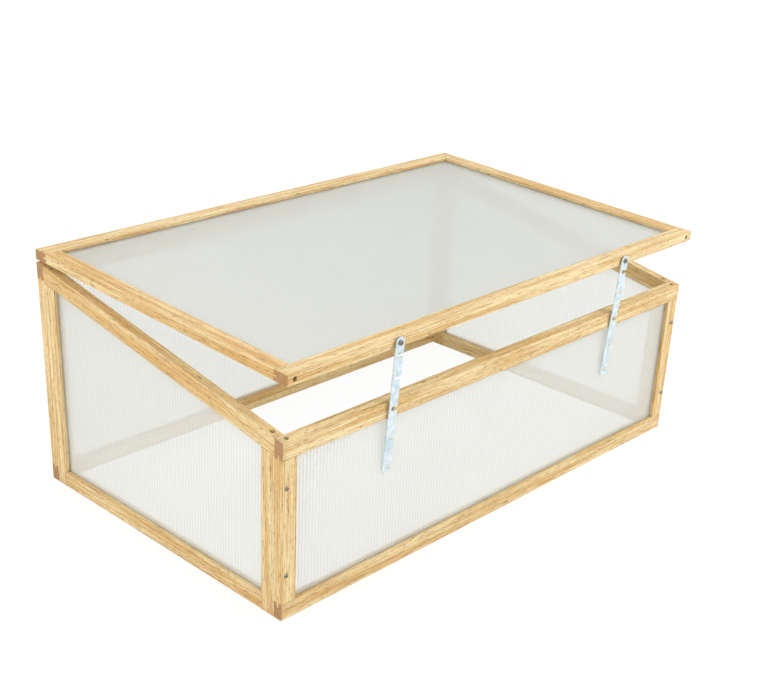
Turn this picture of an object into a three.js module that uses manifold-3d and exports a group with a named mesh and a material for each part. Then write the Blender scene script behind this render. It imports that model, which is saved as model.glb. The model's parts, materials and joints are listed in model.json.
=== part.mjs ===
// Cold frame: four glazed timber panels screwed into a box, with a glazed lid hinged along the back
// and two notched steel props that hold the lid open over catch screws on the front rail.
// Millimetres, +Z up. X runs along the front, +Y to the back. The base stands on z = 0.
import * as THREE from "three";
import { mergeVertices } from "three/addons/utils/BufferGeometryUtils.js";
import Module from "manifold-3d";

const wasm = await Module();
wasm.setup();

// ---- driving dimensions: the box ----
const LENGTH = 1000;              // along the front
const DEPTH = 600;                // front face to back face
const FRONT_HEIGHT = 296;         // at the front face
const BACK_HEIGHT = 400;          // at the back face
const TIMBER_T = 17;              // timber thickness, across a panel
const TIMBER_W = 28;              // timber width, in the plane of a panel
const JOINT_GAP = 0.2;            // dark line where two timbers meet

// ---- glazing and its grooves ----
const SHEET_T = 4;                // twin-wall sheet
const SHEET_PLAY = 0.3;           // each side of the sheet in its groove
const GROOVE_DEPTH = 8;
const TONGUE_SHORT = 0.5;         // a tongue or sheet stops this far from the groove's floor

// ---- lid ----
const LID_SHORT = 0.95;           // the lid is this much less deep than the sloping top it covers
const REAR_GAP = 5;               // between the lid and the back rail, at the hinge
const CLOSED_GAP = 0.5;           // between the closed lid and the front rail
const LID_PROPPED = THREE.MathUtils.degToRad(8.3); // from closed to propped

// ---- hinges ----
const HINGE_INSET = 170;          // from each end to a hinge's middle
const HINGE_WIDTH = 60;
const KNUCKLE_R = 3;
const KNUCKLE_BORE_R = 1.75;
const HINGE_PIN_R = 1.5;
const HINGE_PIN_PROUD = 1;
const LEAF_T = 1.5;
const LEAF_GAP = 0.2;             // leaf to timber
const BASE_LEAF_DROP = 24;
const KNUCKLE_GAP = 0.4;

// ---- props ----
const PROP_INSET = [218, 215];    // from the left end and the right end to the pivot screws
const PROP_WIDTH = 18;
const PROP_T = 2;
const PROP_ABOVE = 9;             // pivot to the upper end
const PROP_TAIL = 11;             // lowest notch to the lower end
const PROP_SWING = 0;             // hooked; an angle here would take the lower end towards -X
const PROP_STANDOFF = 3;          // lid face to the prop's back
const NOTCH_PITCH = 50.5;
const NOTCH_R = 4;
const NOTCH_SLOT = 6;
const PIVOT_HOLE_R = 2.9;
const CATCH_DROP = 12;            // below the front rail's front top edge
const CATCH_HEAD_R = 4.5;
const CATCH_HEAD_T = 2;
const CATCH_CLEAR = 0.8;          // catch screw's head to the prop's back
const SHEET_CLEAR = 0.5;          // front sheet to the prop's lower end

// ---- screws ----
const SHANK_R = 2;
const SHANK_PLAY = 0.2;
const SCREW_LENGTH = 40;
const SMALL_SCREW_LENGTH = 12;
const HEAD_R = 3.6;
const HEAD_T = 2.2;
const HEAD_FLAT = 0.7;            // share of a head's radius that is flat
const HEAD_ROUNDED = 0.5;         // share of a head's thickness that slopes
const COUNTERBORE_R = 4.2;
const COUNTERBORE_DEPTH = 4;
const LOW_SCREW_UP = 76;          // panel screws: from the ground to the lower one
const HIGH_SCREW_DOWN = 74;       // and from the panel's top to the upper one
const PIVOT_HEAD_R = 4.5;
const PIVOT_PLAY = 0.9;           // prop's free room under the pivot screw's head
const WASHER_R = 6;
const WASHER_T = 1;

const ROUND_SIDES = 16;
const KNUCKLE_SIDES = 24;
const OVERCUT = 1;                // cutters run past the faces they cut
const SUNK_OVERCUT = 4;           // the same, where the cut face slopes

// ---- worked out ----
const X0 = -LENGTH / 2;
const X1 = LENGTH / 2;
const RISE = (BACK_HEIGHT - FRONT_HEIGHT) / DEPTH;
const ALONG = Math.hypot(1, RISE);                 // slope length for each unit of depth
const GROOVE_W = SHEET_T + 2 * SHEET_PLAY;
const GROOVE_0 = (TIMBER_T - GROOVE_W) / 2;
const GROOVE_1 = GROOVE_0 + GROOVE_W;
const SHEET_0 = (TIMBER_T - SHEET_T) / 2;
const SHEET_1 = SHEET_0 + SHEET_T;
const REACH = GROOVE_DEPTH - TONGUE_SHORT;         // how far a tongue or sheet enters a groove
const panelScrewZ = (height) => [LOW_SCREW_UP, height - HIGH_SCREW_DOWN];
const AXIS_Y = DEPTH + KNUCKLE_R;
const AXIS_Z = BACK_HEIGHT + REAR_GAP / 2;
const LID_DEPTH = DEPTH * ALONG - LID_SHORT;
const LID_BACK = -KNUCKLE_R;                       // lid frame: hinge axis at its origin
const LID_FRONT = LID_BACK - LID_DEPTH;
const LID_UNDER = REAR_GAP / 2;
const LID_TOP = LID_UNDER + TIMBER_T;
const LID_MIDDLE = (LID_UNDER + LID_TOP) / 2;
const PROP_MIDDLE = PROP_STANDOFF + PROP_T / 2;    // lid face to the prop's mid-plane
const CATCH_Z = FRONT_HEIGHT - CATCH_DROP;
const PROP_X = [X0 + PROP_INSET[0], X1 - PROP_INSET[1]];
// Closed, the lid's underside passes just over the front rail's front edge.
const EDGE_DROP = AXIS_Z - FRONT_HEIGHT;
const LID_CLOSED = Math.atan2(EDGE_DROP, AXIS_Y)
  + Math.asin((LID_UNDER - CLOSED_GAP) / Math.hypot(EDGE_DROP, AXIS_Y));
const LID_SLOPE = LID_CLOSED - LID_PROPPED;

const topAt = (y) => FRONT_HEIGHT + RISE * y;      // the plane that the box's top edges lie in
const underAt = (y) => topAt(y) - TIMBER_W * ALONG; // underside of a sloping side rail
const span = (a, b) => [Math.min(a, b), Math.max(a, b)];

// ---- materials ----
const larch = new THREE.MeshStandardMaterial({ color: 0xd9bc7c, roughness: 0.7, metalness: 0 });
const sheetMaterial = new THREE.MeshStandardMaterial({
  color: 0xeef1ec, roughness: 0.35, metalness: 0, transparent: true, opacity: 0.45,
});
const galvanised = new THREE.MeshStandardMaterial({ color: 0xc9d6dc, roughness: 0.35, metalness: 0.9 });
const screwSteel = new THREE.MeshStandardMaterial({ color: 0x8f8f8c, roughness: 0.4, metalness: 0.9 });

// ---- solids ----
function solid(geometry) {
  const bare = geometry.clone();
  bare.deleteAttribute("normal");
  bare.deleteAttribute("uv");
  const merged = mergeVertices(bare, 1e-5);
  return new wasm.Manifold(new wasm.Mesh({
    numProp: 3,
    vertProperties: new Float32Array(merged.attributes.position.array),
    triVerts: new Uint32Array(merged.index.array),
  }));
}

function meshOf(name, body, material) {
  const { vertProperties, triVerts } = body.getMesh();
  const geometry = new THREE.BufferGeometry();
  geometry.setAttribute("position", new THREE.BufferAttribute(new Float32Array(vertProperties), 3));
  geometry.setIndex(new THREE.BufferAttribute(new Uint32Array(triVerts), 1));
  geometry.computeVertexNormals();
  const mesh = new THREE.Mesh(geometry, material);
  mesh.name = name;
  return mesh;
}

function box(x0, x1, y0, y1, z0, z1) {
  const geometry = new THREE.BoxGeometry(x1 - x0, y1 - y0, z1 - z0);
  geometry.translate((x0 + x1) / 2, (y0 + y1) / 2, (z0 + z1) / 2);
  return solid(geometry);
}

// An outline of [y, z] points, extruded along X.
function alongX(outline, x0, x1) {
  const shape = new THREE.Shape(outline.map(([y, z]) => new THREE.Vector2(y, z)));
  const geometry = new THREE.ExtrudeGeometry(shape, { depth: x1 - x0, bevelEnabled: false });
  const turn = new THREE.Matrix4().makeBasis(
    new THREE.Vector3(0, 1, 0), new THREE.Vector3(0, 0, 1), new THREE.Vector3(1, 0, 0));
  geometry.applyMatrix4(turn);
  geometry.translate(x0, 0, 0);
  return solid(geometry);
}

// A round bar from a point, along a direction, for a length.
function rod(point, direction, length, radius, sides = ROUND_SIDES) {
  const geometry = new THREE.CylinderGeometry(radius, radius, length, sides);
  geometry.translate(0, length / 2, 0);
  geometry.applyQuaternion(new THREE.Quaternion().setFromUnitVectors(
    new THREE.Vector3(0, 1, 0), new THREE.Vector3(...direction).normalize()));
  geometry.translate(...point);
  return solid(geometry);
}

// ---- screws: a turned profile, its head's top at a point, its shank along a direction ----
function screwMesh(name, profile, point, direction, material = screwSteel) {
  const points = profile.map(([r, s]) => new THREE.Vector2(r, s));
  const body = solid(new THREE.LatheGeometry(points.reverse(), ROUND_SIDES));
  const mesh = meshOf(name, body, material);
  mesh.position.set(...point);
  mesh.quaternion.setFromUnitVectors(
    new THREE.Vector3(0, -1, 0), new THREE.Vector3(...direction).normalize());
  return mesh;
}

// Profiles start at the head's top, at s = 0, and run down to the point.
const screwProfile = (headR, headT, length) => [
  [0, 0], [headR * HEAD_FLAT, 0], [headR, -headT * HEAD_ROUNDED], [headR, -headT],
  [SHANK_R, -headT], [SHANK_R, -(length - SHANK_R)], [0, -length],
];

function screwHole(point, direction, length) {
  const start = point.map((value, i) => value - direction[i] * OVERCUT);
  return rod(start, direction, length + 2 * OVERCUT, SHANK_R + SHANK_PLAY);
}

// A recess for the head, and the hole below it.
function sunkHole(point, direction) {
  const start = point.map((value, i) => value - direction[i] * SUNK_OVERCUT);
  const recess = rod(start, direction, COUNTERBORE_DEPTH + SUNK_OVERCUT, COUNTERBORE_R);
  return recess.add(screwHole(point, direction, SCREW_LENGTH + COUNTERBORE_DEPTH));
}

// ---- a rectangular panel: rails run its full length, and stiles stand between them ----
const group = new THREE.Group();

// The section of a front or back rail, with its groove in the edge that faces the glazing.
function railSection(y0, low, highFront, highBack, grooveBelow) {
  const g0 = y0 + GROOVE_0;
  const g1 = y0 + GROOVE_1;
  const y1 = y0 + TIMBER_T;
  if (grooveBelow) {
    return [[y0, low], [g0, low], [g0, low + GROOVE_DEPTH], [g1, low + GROOVE_DEPTH], [g1, low],
      [y1, low], [y1, highBack], [y0, highFront]];
  }
  return [[y0, low], [y1, low], [y1, highBack], [g1, highBack], [g1, highBack - GROOVE_DEPTH],
    [g0, highFront - GROOVE_DEPTH], [g0, highFront], [y0, highFront]];
}

// A stile between z0 and z1: its groove faces the glazing, and its tongues enter the rails.
function stile(xOuter, inward, y0, z0, z1) {
  const xInner = xOuter + inward * TIMBER_W;
  const xFloor = xInner - inward * GROOVE_DEPTH;
  const timber = box(...span(xOuter, xInner), y0, y0 + TIMBER_T, z0 + JOINT_GAP, z1 - JOINT_GAP);
  const groove = box(...span(xFloor, xInner + inward * OVERCUT), y0 + GROOVE_0, y0 + GROOVE_1,
    z0 - OVERCUT, z1 + OVERCUT);
  const tongue = box(...span(xOuter, xFloor), y0 + SHEET_0, y0 + SHEET_1, z0 - REACH, z1 + REACH);
  return timber.subtract(groove).add(tongue);
}

function endPanel(place, y0, screwZ, outward) {
  const yMiddle = y0 + TIMBER_T / 2;
  const yOuter = outward < 0 ? y0 : y0 + TIMBER_T;
  const sideMiddle = X1 - TIMBER_T / 2;
  const railUnder = topAt(outward < 0 ? y0 : y0 + TIMBER_T) - TIMBER_W;
  let topRail = alongX(railSection(y0, railUnder, topAt(y0), topAt(y0 + TIMBER_T), true), X0, X1);
  const bottomRail = alongX(railSection(y0, 0, TIMBER_W, TIMBER_W, false), X0, X1);
  const hardware = [];
  const stiles = [["left", -1], ["right", 1]].map(([side, sign]) => {
    let body = stile(sign * X1, -sign, y0, TIMBER_W, railUnder);
    const head = [sign * (X1 - TIMBER_W / 2), yMiddle, topAt(yMiddle)];
    const cutter = sunkHole(head, [0, 0, -1]);
    topRail = topRail.subtract(cutter);
    body = body.subtract(cutter);
    const sunk = [head[0], head[1], head[2] - COUNTERBORE_DEPTH + HEAD_T];
    hardware.push(screwMesh(`${place}_rail_screw_${side}`, screwProfile(HEAD_R, HEAD_T, SCREW_LENGTH),
      sunk, [0, 0, -1]));
    screwZ.forEach((z, i) => {
      const onFace = [sign * sideMiddle, yOuter, z];
      body = body.subtract(screwHole(onFace, [0, -outward, 0], SCREW_LENGTH));
      hardware.push(screwMesh(`${place}_panel_screw_${side}_${i + 1}`,
        screwProfile(HEAD_R, HEAD_T, SCREW_LENGTH), [onFace[0], yOuter + outward * (HEAD_T + JOINT_GAP), z],
        [0, -outward, 0]));
    });
    return meshOf(`${place}_stile_${side}`, body, larch);
  });
  const sheetX = X1 - TIMBER_W + REACH;
  const sheet = box(-sheetX, sheetX, y0 + SHEET_0, y0 + SHEET_1, TIMBER_W - REACH, railUnder + REACH);
  group.add(meshOf(`${place}_bottom_rail`, bottomRail, larch), ...stiles, ...hardware);
  group.add(meshOf(`${place}_glazing`, sheet, sheetMaterial));
  return topRail;
}

// ---- a side panel: a sloping rail over two stiles, and a bottom rail between them ----
const SIDE_Y0 = TIMBER_T + JOINT_GAP;
const SIDE_Y1 = DEPTH - TIMBER_T - JOINT_GAP;

function slopedBand(y0, y1, below, above) {
  return [[y0, below(y0)], [y1, below(y1)], [y1, above(y1)], [y0, above(y0)]];
}

function sidePanel(side, sign) {
  const x0 = sign < 0 ? X0 : X1 - TIMBER_T;
  const x1 = x0 + TIMBER_T;
  const xMiddle = (x0 + x1) / 2;
  const inThickness = (outline, from, to) => alongX(outline, x0 + from, x0 + to);
  const grooveTop = (y) => underAt(y) + GROOVE_DEPTH * ALONG;
  const reachTop = (y) => underAt(y) + REACH * ALONG;
  let topRail = inThickness(slopedBand(SIDE_Y0, SIDE_Y1, underAt, topAt), 0, TIMBER_T).subtract(
    inThickness(slopedBand(0, DEPTH, (y) => underAt(y) - OVERCUT, grooveTop), GROOVE_0, GROOVE_1));

  const railY0 = TIMBER_T + TIMBER_W;
  const railY1 = DEPTH - TIMBER_T - TIMBER_W;
  const ends = [["front", SIDE_Y0, railY0, 1], ["back", SIDE_Y1, railY1, -1]];
  const stiles = ends.map(([end, yOuter, yInner, inward]) => {
    const yFloor = yInner - inward * GROOVE_DEPTH;
    const ground = () => 0;
    const stileTop = (y) => underAt(y) - JOINT_GAP;
    let body = inThickness(slopedBand(...span(yOuter, yInner), ground, stileTop), 0, TIMBER_T)
      .subtract(inThickness(slopedBand(...span(yFloor, yInner + inward * OVERCUT), () => -OVERCUT, topAt),
        GROOVE_0, GROOVE_1))
      .add(inThickness(slopedBand(...span(yOuter, yFloor), ground, reachTop), SHEET_0, SHEET_1));
    const yMiddle = (yOuter + yInner) / 2;
    const head = [xMiddle, yMiddle, topAt(yMiddle)];
    const cutter = sunkHole(head, [0, 0, -1]);
    topRail = topRail.subtract(cutter);
    body = body.subtract(cutter);
    for (const z of panelScrewZ(end === "front" ? FRONT_HEIGHT : BACK_HEIGHT)) {
      const face = end === "front" ? 0 : DEPTH;
      body = body.subtract(screwHole([xMiddle, face, z], [0, inward, 0], SCREW_LENGTH));
    }
    group.add(screwMesh(`${side}_rail_screw_${end}`, screwProfile(HEAD_R, HEAD_T, SCREW_LENGTH),
      [head[0], head[1], head[2] - COUNTERBORE_DEPTH + HEAD_T], [0, 0, -1]));
    return meshOf(`${side}_stile_${end}`, body, larch);
  });

  const bottomRail = box(x0, x1, railY0 + JOINT_GAP, railY1 - JOINT_GAP, 0, TIMBER_W)
    .subtract(box(x0 + GROOVE_0, x0 + GROOVE_1, railY0 - OVERCUT, railY1 + OVERCUT,
      TIMBER_W - GROOVE_DEPTH, TIMBER_W + OVERCUT))
    .add(box(x0 + SHEET_0, x0 + SHEET_1, railY0 - REACH, railY1 + REACH, 0, TIMBER_W - GROOVE_DEPTH));
  const sheet = inThickness(slopedBand(railY0 - REACH, railY1 + REACH, () => TIMBER_W - REACH, reachTop),
    SHEET_0, SHEET_1);
  group.add(meshOf(`${side}_top_rail`, topRail, larch), meshOf(`${side}_bottom_rail`, bottomRail, larch),
    ...stiles, meshOf(`${side}_glazing`, sheet, sheetMaterial));
}

// ---- lid: built in its own frame, with the hinge axis at the origin ----
const lid = new THREE.Group();
lid.position.set(0, AXIS_Y, AXIS_Z);
lid.rotation.x = LID_SLOPE;
group.add(lid);

function lidRail(yOuter, inward) {
  const yInner = yOuter + inward * TIMBER_W;
  const yFloor = yInner - inward * GROOVE_DEPTH;
  const g0 = LID_UNDER + GROOVE_0;
  const g1 = LID_UNDER + GROOVE_1;
  return alongX([[yOuter, LID_UNDER], [yInner, LID_UNDER], [yInner, g0], [yFloor, g0], [yFloor, g1],
    [yInner, g1], [yInner, LID_TOP], [yOuter, LID_TOP]], X0, X1);
}

function lidFrame() {
  const frontInner = LID_FRONT + TIMBER_W;
  const backInner = LID_BACK - TIMBER_W;
  const sheetZ = [LID_UNDER + SHEET_0, LID_UNDER + SHEET_1];
  let frontRail = lidRail(LID_FRONT, 1);
  let backRail = lidRail(LID_BACK, -1);
  for (const x of PROP_X) {
    frontRail = frontRail.subtract(screwHole([x, LID_FRONT, LID_MIDDLE], [0, 1, 0], SMALL_SCREW_LENGTH));
  }
  for (const [side, sign] of [["left", -1], ["right", 1]]) {
    const xOuter = sign * X1;
    const xInner = xOuter - sign * TIMBER_W;
    const xFloor = xInner + sign * GROOVE_DEPTH;
    const length = [frontInner + JOINT_GAP, backInner - JOINT_GAP];
    let sideRail = box(...span(xOuter, xInner), ...length, LID_UNDER, LID_TOP)
      .subtract(box(...span(xFloor, xInner - sign * OVERCUT), frontInner - OVERCUT, backInner + OVERCUT,
        LID_UNDER + GROOVE_0, LID_UNDER + GROOVE_1))
      .add(box(...span(xOuter, xFloor), frontInner - REACH, backInner + REACH, ...sheetZ));
    const x = sign * (X1 - TIMBER_W / 2);
    const ends = [["front", LID_FRONT, 1], ["back", LID_BACK, -1]];
    for (const [end, y, into] of ends) {
      const cutter = sunkHole([x, y, LID_MIDDLE], [0, into, 0]);
      sideRail = sideRail.subtract(cutter);
      if (end === "front") frontRail = frontRail.subtract(cutter);
      else backRail = backRail.subtract(cutter);
      lid.add(screwMesh(`lid_screw_${end}_${side}`, screwProfile(HEAD_R, HEAD_T, SCREW_LENGTH),
        [x, y + into * (COUNTERBORE_DEPTH - HEAD_T), LID_MIDDLE], [0, into, 0]));
    }
    lid.add(meshOf(`lid_side_rail_${side}`, sideRail, larch));
  }
  const sheetX = X1 - TIMBER_W + REACH;
  const sheet = box(-sheetX, sheetX, frontInner - REACH, backInner + REACH, ...sheetZ);
  lid.add(meshOf("lid_front_rail", frontRail, larch), meshOf("lid_back_rail", backRail, larch),
    meshOf("lid_glazing", sheet, sheetMaterial));
}

// ---- hinges: a leaf on each back rail's face, three knuckles and a loose pin ----
// Everything here is about the hinge axis, which is the X axis of the lid's frame.
const axle = (x0, x1, radius) => rod([x0, 0, 0], [1, 0, 0], x1 - x0, radius, KNUCKLE_SIDES);

function knuckle(x0, x1) {
  return axle(x0, x1, KNUCKLE_R).subtract(axle(x0 - OVERCUT, x1 + OVERCUT, KNUCKLE_BORE_R));
}

function hinge(side, xMiddle) {
  const x0 = xMiddle - HINGE_WIDTH / 2;
  const x1 = xMiddle + HINGE_WIDTH / 2;
  const inner0 = xMiddle - HINGE_WIDTH / 6;
  const inner1 = xMiddle + HINGE_WIDTH / 6;
  const plateY = [-KNUCKLE_R + LEAF_GAP, -KNUCKLE_R + LEAF_GAP + LEAF_T];
  const clear = KNUCKLE_R + KNUCKLE_GAP;
  const pinWay = axle(x0 - OVERCUT, x1 + OVERCUT, KNUCKLE_BORE_R);

  const baseLeaf = box(x0, x1, ...plateY, -BASE_LEAF_DROP, 0)
    .subtract(axle(inner0 - KNUCKLE_GAP, inner1 + KNUCKLE_GAP, clear))
    .subtract(box(inner0 - KNUCKLE_GAP, inner1 + KNUCKLE_GAP, -2 * KNUCKLE_R, 0, -KNUCKLE_R, OVERCUT))
    .add(knuckle(x0, inner0 - KNUCKLE_GAP)).add(knuckle(inner1 + KNUCKLE_GAP, x1))
    .subtract(pinWay);
  const leafTop = LID_TOP - LEAF_T;
  const lidLeaf = box(x0, x1, ...plateY, 0, leafTop)
    .subtract(axle(x0 - OVERCUT, inner0, clear)).subtract(axle(inner1, x1 + OVERCUT, clear))
    .subtract(box(x0 - OVERCUT, inner0, -2 * KNUCKLE_R, 0, -OVERCUT, KNUCKLE_R))
    .subtract(box(inner1, x1 + OVERCUT, -2 * KNUCKLE_R, 0, -OVERCUT, KNUCKLE_R))
    .add(knuckle(inner0, inner1))
    .subtract(pinWay);
  const pin = axle(x0 - HINGE_PIN_PROUD, x1 + HINGE_PIN_PROUD, HINGE_PIN_R);

  const onBase = meshOf(`${side}_hinge_base_leaf`, baseLeaf, galvanised);
  const loosePin = meshOf(`${side}_hinge_pin`, pin, screwSteel);
  for (const mesh of [onBase, loosePin]) mesh.position.set(0, AXIS_Y, AXIS_Z);
  group.add(onBase, loosePin);
  lid.add(meshOf(`${side}_hinge_lid_leaf`, lidLeaf, galvanised));
}

// ---- props ----
// A pivot's place in the base's frame, for a lid turned by an angle from flat.
function pivotAt(slope) {
  const y = LID_FRONT - PROP_MIDDLE;
  return {
    y: AXIS_Y + y * Math.cos(slope) - LID_MIDDLE * Math.sin(slope),
    z: AXIS_Z + y * Math.sin(slope) + LID_MIDDLE * Math.cos(slope),
  };
}
const PIVOT = pivotAt(LID_SLOPE);
const CLOSED_PIVOT = pivotAt(LID_CLOSED);
const CATCH_Y = -(CATCH_HEAD_T + CATCH_CLEAR + PROP_T / 2);   // the prop's mid-plane, at the catch
const PROP_LEAN = Math.atan2(CATCH_Y - PIVOT.y, PIVOT.z - CATCH_Z);
const HOOKED = (PIVOT.z - CATCH_Z) / (Math.cos(PROP_LEAN) * Math.cos(PROP_SWING));
const CLOSED_NOTCH = CLOSED_PIVOT.z - CATCH_Z;
// How far down a leaning prop can reach before it meets the front sheet.
const PROP_REACH = (SHEET_0 - SHEET_CLEAR - PROP_T / 2 - PIVOT.y) / Math.sin(PROP_LEAN);
const OPEN_NOTCHES = [-1, 0, 1, 2].map((step) => HOOKED + step * NOTCH_PITCH)
  .filter((drop) => drop > CLOSED_NOTCH + 3 * NOTCH_R && drop + PROP_TAIL < PROP_REACH);
const NOTCHES = [CLOSED_NOTCH, ...OPEN_NOTCHES];
const PROP_BELOW = Math.max(...NOTCHES) + PROP_TAIL;   // pivot to the lower end

// In the prop's own frame: +Y up along it, +Z out of its front face, the pivot at the origin.
function propBody() {
  const half = PROP_WIDTH / 2;
  const outline = new THREE.Shape();
  outline.moveTo(half, PROP_ABOVE - half);
  outline.absarc(0, PROP_ABOVE - half, half, 0, Math.PI);
  outline.lineTo(-half, -PROP_BELOW + half);
  outline.absarc(0, -PROP_BELOW + half, half, Math.PI, 2 * Math.PI);
  const plate = new THREE.ExtrudeGeometry(outline,
    { depth: PROP_T, bevelEnabled: false, curveSegments: ROUND_SIDES });
  plate.translate(0, 0, -PROP_T / 2);
  let body = solid(plate);
  const through = PROP_T + 2 * OVERCUT;
  body = body.subtract(rod([0, 0, -through / 2], [0, 0, 1], through, PIVOT_HOLE_R));
  for (const drop of NOTCHES) {
    const slot = [-drop - NOTCH_R, -drop - NOTCH_R + NOTCH_SLOT];
    body = body.subtract(rod([0, -drop, -through / 2], [0, 0, 1], through, NOTCH_R))
      .subtract(box(0, half + OVERCUT, ...slot, -through / 2, through / 2));
  }
  return body;
}

function prop(side, x) {
  const hung = new THREE.Group();            // leans about the pivot; the blade swings in it
  hung.position.set(x, PIVOT.y, PIVOT.z);
  hung.rotation.x = PROP_LEAN;
  group.add(hung);
  const blade = meshOf(`${side}_prop`, propBody(), galvanised);
  hung.add(blade);
  const stand = new THREE.Quaternion().setFromAxisAngle(new THREE.Vector3(1, 0, 0), Math.PI / 2);
  const swing = new THREE.Quaternion().setFromAxisAngle(new THREE.Vector3(0, 1, 0), PROP_SWING);
  blade.quaternion.copy(swing.multiply(stand));

  const washer = rod([0, PROP_T / 2 + JOINT_GAP, 0], [0, 1, 0], WASHER_T, WASHER_R)
    .subtract(rod([0, 0, 0], [0, 1, 0], PROP_T + WASHER_T, PIVOT_HOLE_R));
  hung.add(meshOf(`${side}_prop_washer`, washer, screwSteel));

  const headUnder = PROP_STANDOFF + PROP_T + PIVOT_PLAY;
  lid.add(screwMesh(`${side}_pivot_screw`,
    screwProfile(PIVOT_HEAD_R, HEAD_T, HEAD_T + headUnder + SMALL_SCREW_LENGTH),
    [x, LID_FRONT - headUnder - HEAD_T, LID_MIDDLE], [0, 1, 0]));
  const catchX = x - Math.sin(PROP_SWING) * HOOKED;
  group.add(screwMesh(`${side}_catch_screw`,
    screwProfile(CATCH_HEAD_R, CATCH_HEAD_T, CATCH_HEAD_T + SMALL_SCREW_LENGTH),
    [catchX, -CATCH_HEAD_T, CATCH_Z], [0, 1, 0]));
  return screwHole([catchX, 0, CATCH_Z], [0, 1, 0], SMALL_SCREW_LENGTH);
}

// ---- the whole ----
let frontTopRail = endPanel("front", 0, panelScrewZ(FRONT_HEIGHT), -1);
const backTopRail = endPanel("back", DEPTH - TIMBER_T, panelScrewZ(BACK_HEIGHT), 1);
sidePanel("left", -1);
sidePanel("right", 1);
lidFrame();
hinge("left", X0 + HINGE_INSET);
hinge("right", X1 - HINGE_INSET);
["left", "right"].forEach((side, i) => {
  frontTopRail = frontTopRail.subtract(prop(side, PROP_X[i]));
});
group.add(meshOf("front_top_rail", frontTopRail, larch), meshOf("back_top_rail", backTopRail, larch));

// the origin is the middle of the footprint, on the ground
group.updateMatrixWorld(true);
const bounds = new THREE.Box3().setFromObject(group, true);
group.position.set(-(bounds.min.x + bounds.max.x) / 2, -(bounds.min.y + bounds.max.y) / 2, 0);

export default group;
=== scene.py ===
# %% [markdown]
# # A glazed timber cold frame
# A cold frame is a low box that shelters young plants. Four glazed timber panels are screwed into a
# box, and a glazed lid is hinged along the back. Two notched steel props hold the lid open. The
# measured model is loaded first. Everything made here is laid around it, in the same metres and the
# same place: +X runs to the right along the front, +Y runs to the back, and the ground is z = 0.

# %% Load the measured model
import json
import math
import random

import bmesh
import bpy
from mathutils import Matrix, Vector


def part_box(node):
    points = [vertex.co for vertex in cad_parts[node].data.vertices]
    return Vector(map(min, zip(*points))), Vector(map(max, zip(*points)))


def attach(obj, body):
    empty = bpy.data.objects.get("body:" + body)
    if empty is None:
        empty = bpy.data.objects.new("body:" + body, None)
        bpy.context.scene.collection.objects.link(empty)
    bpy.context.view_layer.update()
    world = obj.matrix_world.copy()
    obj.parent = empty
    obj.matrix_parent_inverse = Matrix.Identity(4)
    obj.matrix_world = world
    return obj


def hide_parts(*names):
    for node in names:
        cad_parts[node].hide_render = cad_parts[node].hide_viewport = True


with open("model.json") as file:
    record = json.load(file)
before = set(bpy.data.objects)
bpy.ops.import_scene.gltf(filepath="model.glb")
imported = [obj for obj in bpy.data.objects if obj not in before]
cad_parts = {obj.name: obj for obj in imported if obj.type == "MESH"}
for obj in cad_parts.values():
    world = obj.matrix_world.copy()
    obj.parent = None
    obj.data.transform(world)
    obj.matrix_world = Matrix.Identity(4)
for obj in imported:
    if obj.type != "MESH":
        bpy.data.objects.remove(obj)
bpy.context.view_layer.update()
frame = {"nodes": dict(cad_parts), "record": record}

# %% [markdown]
# ## The camera
# The frame is seen from its front left corner, from a little above the lid. A normal lens from two
# metres away keeps the posts nearly upright, and a small upward shift does what the rising front of a
# view camera does: it keeps the posts upright while the frame sits low in the picture.

# %% Camera
camera_data = bpy.data.cameras.new("camera")
camera_data.sensor_width = 36
camera_data.lens = 61.69
camera_data.shift_x, camera_data.shift_y = 0.0238, 0.1193
camera = bpy.data.objects.new("camera", camera_data)
camera.location = (-1.5938, -1.4973, 1.1241)
camera.rotation_euler = [math.radians(a) for a in (63.247, -2.049, -45.278)]
bpy.context.scene.collection.objects.link(camera)
bpy.context.scene.camera = camera

# %% [markdown]
# ## Sums on shader sockets
# A wood or a sheet of plastic needs a dozen small sums in its material. Wired by hand they are hard to
# read, so a small class stands for one output of a node, and `+ - * /` on it add the Math nodes.
# `Finish` is one material, and its `node` method adds any node: its settings first, then the values or
# links of its sockets.

# %% A socket that can be used in sums
class Shade:
    """One output of a node. Sums on it add Math nodes to its material."""

    def __init__(self, finish, socket):
        self.finish, self.socket = finish, socket

    def sum(self, operation, *others):
        return self.finish.node("ShaderNodeMath", {"operation": operation},
                                dict(enumerate([self, *others])))

    def __add__(self, other):
        return self.sum("ADD", other)

    def __mul__(self, other):
        return self.sum("MULTIPLY", other)

    def __sub__(self, other):
        return self.sum("SUBTRACT", other)

    def __truediv__(self, other):
        return self.sum("DIVIDE", other)

    __radd__, __rmul__ = __add__, __mul__


def paint(code):
    """A colour written as on a paint chart, such as "e3c68d", as the linear light that Blender works in."""
    parts = [int(code[i:i + 2], 16) / 255 for i in (0, 2, 4)]
    return tuple(p / 12.92 if p <= 0.04045 else ((p + 0.055) / 1.055) ** 2.4 for p in parts) + (1.0,)


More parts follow.
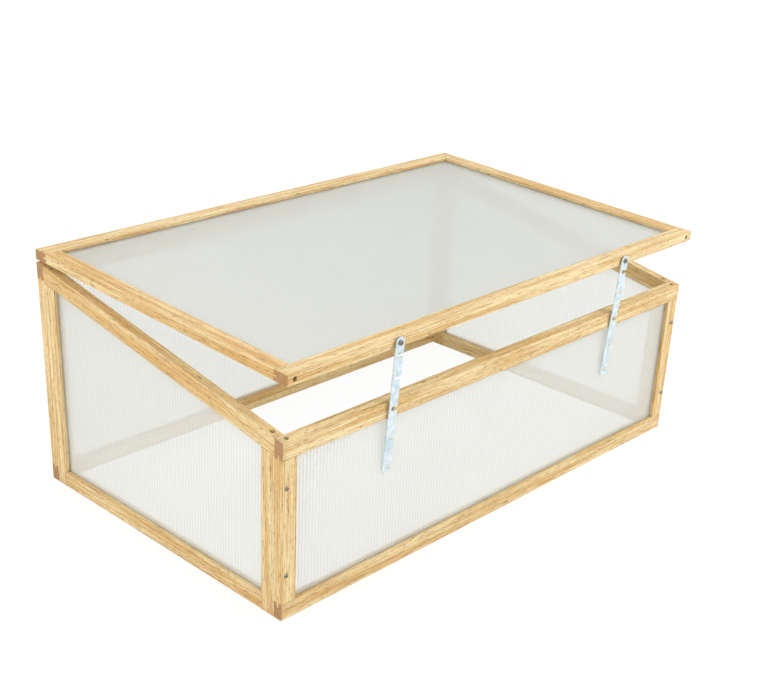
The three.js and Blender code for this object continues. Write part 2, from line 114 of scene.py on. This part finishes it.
# %% A material under construction
class Finish:
    """A material. node() adds one node; the other methods are nodes that are needed often."""

    def __init__(self, name):
        self.material = bpy.data.materials.new(name)
        self.material.use_nodes = True
        self.tree = self.material.node_tree
        self.tree.nodes.clear()

    def node(self, kind, settings=None, inputs=None, output=0):
        made = self.tree.nodes.new(kind)
        for key, value in (settings or {}).items():
            if key == "stops":
                for spare in list(made.color_ramp.elements)[1:]:
                    made.color_ramp.elements.remove(spare)
                made.color_ramp.elements[0].position = value[0][0]
                for place, _ in value[1:]:
                    made.color_ramp.elements.new(place)
                for element, (_, colour) in zip(made.color_ramp.elements, value):
                    element.color = colour if isinstance(colour, tuple) else (colour,) * 3 + (1,)
            else:
                setattr(made, key, value)
        for key, value in (inputs or {}).items():
            if isinstance(value, Shade):
                self.tree.links.new(value.socket, made.inputs[key])
            else:
                made.inputs[key].default_value = value
        return Shade(self, made.outputs[output])

    def place(self):
        return self.node("ShaderNodeTexCoord", output="Object")

    def stretched(self, vector, factors, shift=0.0):
        """A position, stretched or squeezed along each axis and then shifted."""
        return self.node("ShaderNodeVectorMath", {"operation": "MULTIPLY_ADD"},
                         {0: vector, 1: factors, 2: (shift, shift * 1.7, shift * 2.3)})

    def noise(self, vector, detail=2.0, roughness=0.5, scale=1.0):
        return self.node("ShaderNodeTexNoise", {}, {
            "Vector": vector, "Scale": scale, "Detail": detail, "Roughness": roughness})

    def ramp(self, value, *stops):
        return self.node("ShaderNodeValToRGB", {"stops": stops}, {"Fac": value})

    def blend(self, mask, below, above):
        """Shows one colour where the mask is 0 and the other where it is 1."""
        return self.node("ShaderNodeMix", {"data_type": "RGBA"}, {0: mask, 6: below, 7: above}, output=2)

    def surface(self, settings, bump=None, bump_depth=0.0002, bump_strength=0.5):
        """The Principled shader, with its bump, as the material's surface."""
        if bump is not None:
            settings["Normal"] = self.node("ShaderNodeBump", {}, {
                "Strength": bump_strength, "Distance": bump_depth, "Height": bump})
        skin = self.node("ShaderNodeBsdfPrincipled", {}, settings)
        self.node_end(skin)
        return self.material

    def node_end(self, skin):
        end = self.tree.nodes.new("ShaderNodeOutputMaterial")
        self.tree.links.new(skin.socket, end.inputs["Surface"])


# %% [markdown]
# ## Larch
# The frame is planed larch. Its colour comes in three layers. Growth rings are shells around a pith
# that lies outside a strip this thin, so they cross its faces as long, slightly wandering lines: the
# finish measures the distance from that pith and repeats a pale-to-amber ramp every few millimetres.
# Fibres are noise squeezed across the grain and stretched along it. Then come short dark resin pores
# and a few pin knots. Where the saw has cut the strip across, the open ends drink in dirt and look
# brown. Every timber has its own pith and its own tone, because no two came from the same place in the
# log.

# %% Larch finish
PALE, HONEY = paint("e4d2a4"), paint("cfab6b")
AMBER, BROWN = paint("aa773f"), paint("65462a")
KNOT, SAWN_END = paint("6b4527"), paint("8e6238")
RING = 0.0031
RING_WANDER = 5.0
END_CUT, END_STAIN = 0.0006, 0.012


def larch(name, middle, along, half_length, seed):
    chance = random.Random(seed)
    f = Finish(name)
    turn = Vector((1, 0, 0)).rotation_difference(along).to_euler()
    laid = f.node("ShaderNodeMapping", {"vector_type": "TEXTURE"}, {
        "Vector": f.place(), "Location": middle, "Rotation": turn})
    shift = chance.uniform(3, 60)

    pith_y = chance.choice((-1, 1)) * chance.uniform(0.03, 0.07)
    pith_z = chance.choice((-1, 1)) * chance.uniform(0.02, 0.06)
    wander = f.noise(f.stretched(laid, (3.5, 16, 16), shift), detail=2) - 0.5
    from_pith = f.node("ShaderNodeVectorMath", {"operation": "DISTANCE"}, {
        0: f.stretched(laid, (chance.uniform(0.01, 0.03), 1, 1)), 1: (0.0, pith_y, pith_z)}, output="Value")
    ring = (from_pith / RING + wander * RING_WANDER).sum("FRACT")
    late = f.ramp(ring, (0.0, 0.25), (0.12, 0.0), (0.5, 0.12), (0.88, 0.95), (1.0, 0.3))

    streak = f.noise(f.stretched(laid, (4, 110, 110), shift + 5), detail=3, roughness=0.6)
    fibre = f.noise(f.stretched(laid, (22, 620, 620), shift + 9), detail=3, roughness=0.65)
    speck = f.noise(f.stretched(laid, (75, 1100, 1100), shift + 2), detail=1)
    pore = f.ramp(speck, (0.62, 0.0), (0.7, 1.0))
    cells = f.node("ShaderNodeTexVoronoi", {}, {
        "Vector": f.stretched(laid, (9, 34, 34), shift), "Scale": 1.0})
    knot = f.ramp(cells, (0.03, 1.0), (0.075, 0.0))

    tone = chance.uniform(0.0, 0.3)
    wood = f.blend(f.ramp(streak, (0.4, 0.0), (0.62, 1.0)) * 0.8 + tone, PALE, HONEY)
    wood = f.blend(late * f.ramp(streak, (0.38, 0.25), (0.62, 1.0)) * 0.65, wood, AMBER)
    wood = f.blend(f.ramp(fibre, (0.5, 0.0), (0.68, 1.0)) * 0.7, wood, AMBER)
    wood = f.blend(pore * 0.8, wood, BROWN)
    wood = f.blend(knot * 0.75, wood, KNOT)

    along_it = f.node("ShaderNodeSeparateXYZ", {}, {0: laid}).sum("ABSOLUTE")
    sawn = f.ramp((along_it - (half_length - END_CUT)) / 0.0004, (0.0, 0.0), (1.0, 1.0))
    near_end = f.ramp((along_it - (half_length - END_STAIN)) / END_STAIN, (0.0, 0.0), (1.0, 0.22))
    wood = f.blend(near_end, wood, AMBER)
    wood = f.blend(sawn * (0.6 + late * 0.35), wood, SAWN_END)

    return f.surface({"Base Color": wood, "Roughness": 0.52 + fibre * 0.25, "Specular IOR Level": 0.35},
                     bump=fibre * 0.7 + late * 0.3, bump_depth=0.0003, bump_strength=0.35)


# %% [markdown]
# ## The timbers
# The measured timbers have knife-sharp edges. A planer leaves them sharp too, but sanding takes the
# bite off the long edges, and it is those that catch the light. Each timber is copied, its loose
# triangles are merged, and only the long edges that run with the grain are bevelled by half a
# millimetre. The short edges at the sawn ends stay sharp.

# %% Helpers for pieces
def unit(x, y, z):
    return Vector((x, y, z)).normalized()


def finished(name, shape, material, body, slot, *nodes):
    """Turns a bmesh into a piece that rides on a body and stands for measured nodes."""
    mesh = bpy.data.meshes.new(name)
    shape.to_mesh(mesh)
    shape.free()
    mesh.materials.append(material)
    piece = bpy.data.objects.new(name, mesh)
    bpy.context.scene.collection.objects.link(piece)
    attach(piece, body)
    if nodes:
        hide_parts(*nodes)
    return piece


def merged_copy(node):
    """A measured node's triangles, joined up, with flat faces whole again."""
    shape = bmesh.new()
    shape.from_mesh(frame["nodes"][node].data)
    for face in shape.faces:
        face.material_index = 0
    bmesh.ops.remove_doubles(shape, verts=shape.verts, dist=1e-6)
    bmesh.ops.dissolve_limit(shape, angle_limit=math.radians(0.5), verts=shape.verts, edges=shape.edges)
    return shape


def body_of(node):
    return next(b for b, nodes in frame["record"]["behaviour"]["bodies"].items() if node in nodes)


def slope_of(node):
    """The direction in which a sloping piece rises, read from its largest upward face."""
    faces = [p for p in frame["nodes"][node].data.polygons if p.normal.z > 0.5]
    normal = max(faces, key=lambda p: p.area).normal
    return unit(0, normal.z, -normal.y)


# %% Ease the long edges of each timber
EASED = 0.0005
LONG_EDGE = 0.03
ALONG_X, ALONG_Y, ALONG_Z = unit(1, 0, 0), unit(0, 1, 0), unit(0, 0, 1)
lid_slope = slope_of("lid_glazing")
side_slope = slope_of("left_top_rail")
print("lid rises", round(math.degrees(math.asin(lid_slope.z)), 2), "deg; sides rise",
      round(math.degrees(math.asin(side_slope.z)), 2), "deg")


def grain_of(node):
    if "stile" in node:
        return ALONG_Z
    if node.startswith("lid_side"):
        return lid_slope
    if node in ("left_top_rail", "right_top_rail"):
        return side_slope
    if node in ("left_bottom_rail", "right_bottom_rail"):
        return ALONG_Y
    return ALONG_X


def is_long_arris(edge, along):
    if not edge.is_manifold or not edge.is_convex or edge.calc_length() < LONG_EDGE:
        return False
    run = (edge.verts[1].co - edge.verts[0].co).normalized()
    return abs(run.dot(along)) > 0.99 and edge.calc_face_angle(0) > math.radians(60)


def timber(node, seed):
    along = grain_of(node)
    shape = merged_copy(node)
    reach = [v.co.dot(along) for v in shape.verts]
    low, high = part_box(node)
    middle = (low + high) / 2
    middle += along * ((min(reach) + max(reach)) / 2 - middle.dot(along))
    arrises = [e for e in shape.edges if is_long_arris(e, along)]
    bmesh.ops.bevel(shape, geom=arrises, offset=EASED, affect="EDGES", segments=2, profile=0.5,
                    material=-1, clamp_overlap=True)
    half = (max(reach) - min(reach)) / 2
    finish = larch("larch_" + node, middle, along, half, seed)
    return finished(node + "_timber", shape, finish, body_of(node), "larch", node)


TIMBERS = [n for n in sorted(frame["nodes"]) if n.endswith("_rail") or "stile" in n or "side_rail" in n]
for number, node in enumerate(TIMBERS):
    timber(node, 11 + number)
print(len(TIMBERS), "timbers")

# %% [markdown]
# ## Twin-wall sheets
# The glazing is twin-wall polycarbonate: two thin skins with a rib between them every few millimetres.
# The ribs are real: each sheet is two thin slabs and a row of ribs, and they draw part of the fine
# lines. A slab of glass would look too clear. The plastic is milky, so part of the light that enters is
# scattered, and the rest comes straight through. Each skin's outer face carries a mix of three shaders:
# a glossy white one for light that bounces off, a translucent one for light that glows through from
# behind, and a clear one for what can be seen straight through. Two faces deep, the far side of the box
# is a ghost. The faces that look into the flutes are left clear, or the sheet would darken twice over.
# The ribs carry the milky finish too. The rest of each fine line is painted shade: a grey line painted on
# the faces over every rib, a little less clear there, for the dark line a rib makes where light passes it
# edge-on.

# %% Sheet finish
FLUTE = 0.0068
SKIN = 0.0005
RIB = 0.0004
MILK, HAZE = paint("fefffc"), paint("f8faf4")
# The second colour here is painted shade: the grey of the line painted over each rib.
GLOW, RIB_SHADE_PAINT = paint("fefffc"), paint("8b9495")
GLOW_SHARE = 0.45
RIB_GAP = 0.00005


def sheet_finish(name, axis, first_rib, line, solid):
    """axis is 0 for ribs that follow one another along X and 1 along Y; line is how strongly the painted
    shade over the ribs shows, and solid is how much of each face is milky."""
    f = Finish(name)
    across = f.node("ShaderNodeSeparateXYZ", {}, {0: f.place()}, output=axis)
    step = ((across - first_rib) / FLUTE + 0.5).sum("FRACT") - 0.5
    # Painted shade over the ribs: this mask is 1 on each rib and fades beside it. It paints the grey line
    # and makes the face a little less clear there.
    painted_rib_shade_mask = f.ramp(step.sum("ABSOLUTE"), (0.03, 1.0), (0.08, 0.3), (0.15, 0.0))
    cloud = f.noise(f.place(), detail=3, scale=5)
    colour = f.blend(cloud * 0.3, MILK, HAZE)
    colour = f.blend(painted_rib_shade_mask * line, colour, RIB_SHADE_PAINT)
    bounced = f.node("ShaderNodeBsdfPrincipled", {}, {"Base Color": colour, "Roughness": 0.25, "IOR": 1.58})
    glowing = f.node("ShaderNodeBsdfTranslucent", {}, {"Color": GLOW})
    milky = f.node("ShaderNodeMixShader", {}, {0: GLOW_SHARE, 1: bounced, 2: glowing})
    f.node_end(f.node("ShaderNodeMixShader", {}, {
        0: painted_rib_shade_mask * line * 0.35 + solid, 1: f.node("ShaderNodeBsdfTransparent"), 2: milky}))
    return f.material


def clear_core():
    f = Finish("clear_core")
    f.node_end(f.node("ShaderNodeBsdfTransparent"))
    return f.material


CLEAR_CORE = clear_core()


# %% Skins and ribs
def slab(shape, low, high):
    """Adds a closed slab between two corners."""
    size = Matrix.Diagonal((*(high - low), 1))
    bmesh.ops.create_cube(shape, size=1, matrix=Matrix.Translation((low + high) / 2) @ size)


def twin_wall(width, height, thickness):
    """A sheet lying flat, its flutes along Y, its lowest corner at the origin. Also gives the place of
    its first rib and the number of ribs."""
    shape = bmesh.new()
    slab(shape, Vector((0, 0, 0)), Vector((width, height, SKIN)))
    slab(shape, Vector((0, 0, thickness - SKIN)), Vector((width, height, thickness)))
    for face in shape.faces:
        if SKIN / 2 < face.calc_center_median().z < thickness - SKIN / 2:
            face.material_index = 1
    count = int((width - RIB) / FLUTE)
    first = (width - (count - 1) * FLUTE) / 2
    for i in range(count):
        x = first + i * FLUTE
        slab(shape, Vector((x - RIB / 2, 0, SKIN + RIB_GAP)),
             Vector((x + RIB / 2, height, thickness - SKIN - RIB_GAP)))
    return shape, first, count


def cut_off(shape, point, normal):
    """Cuts away what lies on the side the normal points to, and closes the cut."""
    made = bmesh.ops.bisect_plane(shape, geom=shape.verts[:] + shape.edges[:] + shape.faces[:], dist=1e-7,
                                  plane_co=point, plane_no=normal, clear_outer=True)
    rim = [e for e in made["geom_cut"] if isinstance(e, bmesh.types.BMEdge)]
    bmesh.ops.holes_fill(shape, edges=rim, sides=4)


# %% The five sheets
def glaze(node, right, up, line=0.42, solid=0.33):
    """Replaces a measured sheet. right and up are the directions of its width and of its flutes."""
    out = right.cross(up)
    points = [v.co for v in frame["nodes"][node].data.vertices]
    low = [min(p.dot(d) for p in points) for d in (right, up, out)]
    high = [max(p.dot(d) for p in points) for d in (right, up, out)]
    shape, first, count = twin_wall(*(b - a for a, b in zip(low, high)))
    stand = Matrix((right, up, out)).transposed().to_4x4()
    stand.translation = right * low[0] + up * low[1] + out * low[2]
    bmesh.ops.transform(shape, matrix=stand, verts=shape.verts)
    if node in ("left_glazing", "right_glazing"):
        front_top = max(points, key=lambda p: p.z - 10 * p.y)
        cut_off(shape, front_top, unit(0, -side_slope.z, side_slope.y))
    axis = 0 if abs(right.x) > 0.5 else 1
    start = (right * (low[0] + first))[axis]
    finish = sheet_finish("milky_" + node, axis, start, line, solid)
    print(node, count, "ribs,", len(shape.faces), "faces")
    sheet = finished(node + "_sheet", shape, finish, body_of(node), "glazing", node)
    sheet.data.materials.append(CLEAR_CORE)
    return sheet


# line sets how strongly the painted shade over the ribs shows; the lid's is the strongest.
glaze("front_glazing", ALONG_X, ALONG_Z)
glaze("back_glazing", ALONG_X, ALONG_Z)
glaze("left_glazing", ALONG_Y, ALONG_Z)
glaze("right_glazing", ALONG_Y, ALONG_Z)
glaze("lid_glazing", ALONG_X, lid_slope, line=0.7)

# %% [markdown]
# ## Zinc-plated steel
# The props and hinges are cut from zinc-plated strip. Fresh zinc is a pale bluish metal with a faint
# cloudiness, where the bath left it thicker or thinner, and fine lines from rolling. Its roughness
# varies more than its colour.

# %% Zinc and screw steel finishes
def zinc(name):
    f = Finish(name)
    cloud = f.noise(f.place(), detail=3, roughness=0.6, scale=90)
    fine = f.noise(f.stretched(f.place(), (1500, 1500, 60)), detail=2)
    colour = f.blend(f.ramp(cloud, (0.35, 0.0), (0.65, 1.0)), paint("e6f0f3"), paint("c6d8e0"))
    return f.surface({"Base Color": colour, "Metallic": 0.75, "Roughness": 0.3 + cloud * 0.2},
                     bump=fine, bump_depth=0.0001, bump_strength=0.25)


def screw_steel(name):
    f = Finish(name)
    cloud = f.noise(f.place(), detail=2, scale=400)
    colour = f.blend(cloud, paint("a3a097"), paint("6d655a"))
    return f.surface({"Base Color": colour, "Metallic": 0.9, "Roughness": 0.22 + cloud * 0.2})


ZINC, SCREW_STEEL = zinc("zinc_plate"), screw_steel("screw_steel")

# %% [markdown]
# ## Props and hinge leaves
# These are stamped from sheet, so their edges are crisp but not sharp. A fifth of a millimetre of bevel
# all round gives each edge the thin bright line that tells the eye it is metal plate and not paper.

# %% Deburr the plates
DEBURRED = 0.0002


def plate(node, name):
    shape = merged_copy(node)
    rims = [e for e in shape.edges
            if e.is_manifold and e.is_convex and e.calc_face_angle(0) > math.radians(60)]
    bmesh.ops.bevel(shape, geom=rims, offset=DEBURRED, affect="EDGES", segments=2, profile=0.5,
                    material=-1, clamp_overlap=True)
    return finished(name, shape, ZINC, body_of(node), "galvanised", node)


for side in ("left", "right"):
    plate(side + "_prop", side + "_prop_strip")
    plate(side + "_hinge_base_leaf", side + "_hinge_base_plate")
    plate(side + "_hinge_lid_leaf", side + "_hinge_lid_plate")
    for node in (side + "_hinge_pin", side + "_prop_washer"):
        frame["nodes"][node].data.materials.clear()
        frame["nodes"][node].data.materials.append(SCREW_STEEL)

# %% [markdown]
# ## Screws
# All the screws are pan heads with a cross recess. One profile is spun into a body of revolution, and
# two crossed tapered wedges are cut out of its head. The measured screw gives the place and the length,
# the head's size is listed, and the new one is stood in it head outwards.

# %% One screw, head up
def spun(profile, sides=24):
    shape = bmesh.new()
    points = [shape.verts.new((r, 0, z)) for r, z in profile]
    line = [shape.edges.new(pair) for pair in zip(points, points[1:])]
    bmesh.ops.spin(shape, geom=points + line, cent=(0, 0, 0), axis=(0, 0, 1), dvec=(0, 0, 0),
                   angle=math.tau, steps=sides, use_merge=True)
    bmesh.ops.remove_doubles(shape, verts=shape.verts, dist=1e-6)
    bmesh.ops.recalc_face_normals(shape, faces=shape.faces)
    return shape


def mesh_of(name, shape):
    mesh = bpy.data.meshes.new(name)
    shape.to_mesh(mesh)
    shape.free()
    return mesh


def cross_recess(radius, depth):
    """Two crossed wedges, narrower at the bottom, that stand a little proud of the head."""
    shape = bmesh.new()
    for turn in (0, math.pi / 2):
        made = bmesh.ops.create_cube(shape, size=1, matrix=Matrix.Rotation(turn, 4, "Z")
                                     @ Matrix.Diagonal((radius * 1.25, radius * 0.26, depth * 2, 1)))
        low = [v for v in made["verts"] if v.co.z < 0]
        bmesh.ops.scale(shape, vec=(0.55, 0.55, 1), verts=low)
    return shape


def screw_mesh(radius, head, length, shank):
    """Head's top at the origin, shank down -Z."""
    dome = [(0, 0), (radius * 0.35, -head * 0.04), (radius * 0.7, -head * 0.2),
            (radius * 0.92, -head * 0.5), (radius, -head * 0.82), (radius * 0.98, -head)]
    body = [(shank, -head), (shank, -length + shank), (0, -length)]
    solid = bpy.data.objects.new("blank", mesh_of("blank", spun(dome + body)))
    cutter = bpy.data.objects.new("cutter", mesh_of("cutter", cross_recess(radius, head * 0.55)))
    for thing in (solid, cutter):
        bpy.context.scene.collection.objects.link(thing)
    cut = solid.modifiers.new("recess", "BOOLEAN")
    cut.operation, cut.solver, cut.object, cut.use_self = "DIFFERENCE", "EXACT", cutter, True
    ready = bpy.data.meshes.new_from_object(solid.evaluated_get(bpy.context.evaluated_depsgraph_get()))
    for thing in (solid, cutter):
        bpy.data.objects.remove(thing)
    return ready


def stand_screw(name, mesh, top, out, turn, body, *nodes):
    """Puts a copy of a screw with its head's top at a point, facing out, its recess turned by an angle."""
    shape = bmesh.new()
    shape.from_mesh(mesh)
    aim = Vector((0, 0, 1)).rotation_difference(out).to_matrix().to_4x4()
    bmesh.ops.transform(shape, verts=shape.verts,
                        matrix=Matrix.Translation(top) @ aim @ Matrix.Rotation(turn, 4, "Z"))
    return finished(name, shape, SCREW_STEEL, body, "screw_steel", *nodes)


# %% Every measured screw
OUTWARD = {"front_panel": -ALONG_Y, "back_panel": ALONG_Y, "rail_screw": ALONG_Z,
           "lid_screw_front": -lid_slope, "lid_screw_back": lid_slope,
           "pivot": -lid_slope, "catch": -ALONG_Y}
HEADS = {"pivot": (0.0045, 0.0022), "catch": (0.0045, 0.002)}
USUAL_HEAD = (0.0036, 0.0022)
SHANK = 0.002
turns = random.Random(5)
kinds = {}
for node in [n for n in sorted(frame["nodes"]) if "screw" in n]:
    out = next(d for key, d in OUTWARD.items() if key in node)
    radius, head = next((h for key, h in HEADS.items() if key in node), USUAL_HEAD)
    points = {tuple(round(c, 6) for c in v.co) for v in frame["nodes"][node].data.vertices}
    middle = sum((Vector(p) for p in points), Vector()) / len(points)
    reach = [Vector(p).dot(out) for p in points]
    top = middle + out * (max(reach) - middle.dot(out))
    length = round(max(reach) - min(reach), 5)
    kind = (radius, head, length)
    if kind not in kinds:
        kinds[kind] = screw_mesh(radius, head, length, SHANK)
    stand_screw(node + "_turned", kinds[kind], top, out, turns.uniform(0, math.pi), body_of(node), node)
print(len(kinds), "kinds of screw; faces in each:", [len(m.polygons) for m in kinds.values()])

# %% Hinge screws
HINGE_SCREW_X = (-0.02, 0.0, 0.02)
LEAF_SCREW_DROP, LEAF_SCREW_RISE = 0.0145, 0.0115
LEAF_SCREW_BACK = 0.0002
hinge_screw = screw_mesh(0.0026, 0.0011, 0.011, 0.0013)
lid_up = ALONG_X.cross(lid_slope)
for side in ("left", "right"):
    low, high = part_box(side + "_hinge_pin")
    axis_point = (low + high) / 2
    for leaf, body, up, out, rise in (("base", "base", ALONG_Z, ALONG_Y, -LEAF_SCREW_DROP),
                                      ("lid", "lid", lid_up, lid_slope, LEAF_SCREW_RISE)):
        for i, x in enumerate(HINGE_SCREW_X):
            top = axis_point + ALONG_X * x + up * rise - out * LEAF_SCREW_BACK
            stand_screw(f"{side}_hinge_{leaf}_screw_{i + 1}", hinge_screw, top, out,
                        turns.uniform(0, math.pi), body)

# %% [markdown]
# ## Light and floor
# The light is a plain white studio: a bright room all round, one soft lamp at the front right, high up,
# and a very large weak one at the left. The first lays a short soft shadow beside each prop. The floor
# and the room show white to the camera and in reflections. The floor keeps a little of the frame's
# shadow, so the frame stands on something.

# %% Room
ROOM = 1.07
world = bpy.data.worlds.new("room")
world.use_nodes = True
bpy.context.scene.world = world
cycles = bpy.context.scene.cycles
cycles.max_bounces, cycles.diffuse_bounces, cycles.transparent_max_bounces = 16, 12, 24
sky = world.node_tree
sky.nodes.clear()
seen = sky.nodes.new("ShaderNodeLightPath")
plain = sky.nodes.new("ShaderNodeBackground")
plain.inputs["Strength"].default_value = ROOM
white = sky.nodes.new("ShaderNodeBackground")
white.inputs["Strength"].default_value = 1.0
for lamp in (plain, white):
    lamp.inputs["Color"].default_value = (1, 1, 1, 1)
either = sky.nodes.new("ShaderNodeMath")
either.operation = "MAXIMUM"
most = sky.nodes.new("ShaderNodeMath")
most.operation = "MAXIMUM"
choose = sky.nodes.new("ShaderNodeMixShader")
end = sky.nodes.new("ShaderNodeOutputWorld")
sky.links.new(seen.outputs["Is Camera Ray"], either.inputs[0])
sky.links.new(seen.outputs["Is Glossy Ray"], either.inputs[1])
sky.links.new(either.outputs[0], most.inputs[0])
sky.links.new(seen.outputs["Is Transmission Ray"], most.inputs[1])
sky.links.new(most.outputs[0], choose.inputs[0])
sky.links.new(plain.outputs[0], choose.inputs[1])
sky.links.new(white.outputs[0], choose.inputs[2])
sky.links.new(choose.outputs[0], end.inputs["Surface"])

# %% Lamps
def lamp_at(name, place, size, watts):
    data = bpy.data.lights.new(name, "AREA")
    data.shape, data.size, data.energy = "DISK", size, watts
    lamp = bpy.data.objects.new(name, data)
    lamp.location = place
    lamp.rotation_euler = (Vector((0, 0, 0.2)) - lamp.location).to_track_quat("-Z", "Y").to_euler()
    bpy.context.scene.collection.objects.link(lamp)


lamp_at("key", (1.5, -1.9, 1.9), 0.9, 24)
lamp_at("fill", (-2.2, 0.3, 1.9), 2.2, 17)

# %% Floor
floor_finish = Finish("pale_floor")
light_path = floor_finish.node("ShaderNodeLightPath", output="Is Camera Ray")
glossy = floor_finish.node("ShaderNodeLightPath", output="Is Glossy Ray")
through = floor_finish.node("ShaderNodeLightPath", output="Is Transmission Ray")
matt = floor_finish.node("ShaderNodeBsdfDiffuse", {}, {"Color": paint("fbfbf9")})
glow = floor_finish.node("ShaderNodeEmission", {}, {"Color": (1, 1, 1, 1), "Strength": 1.0})
floor_finish.node_end(floor_finish.node("ShaderNodeMixShader", {}, {
    0: light_path.sum("MAXIMUM", glossy).sum("MAXIMUM", through) * 0.9, 1: matt, 2: glow}))
floor_shape = bmesh.new()
bmesh.ops.create_grid(floor_shape, x_segments=1, y_segments=1, size=6)
bmesh.ops.translate(floor_shape, vec=(0, 0, -0.0005), verts=floor_shape.verts)
floor_mesh = mesh_of("floor", floor_shape)
floor_mesh.materials.append(floor_finish.material)
floor = bpy.data.objects.new("floor", floor_mesh)
bpy.context.scene.collection.objects.link(floor)

# %% [markdown]
# ## Colour view
# Colours are shown as they are written, with the Standard view transform.

# %% Standard view and finish
bpy.context.scene.view_settings.view_transform = "Standard"
bpy.context.view_layer.update()
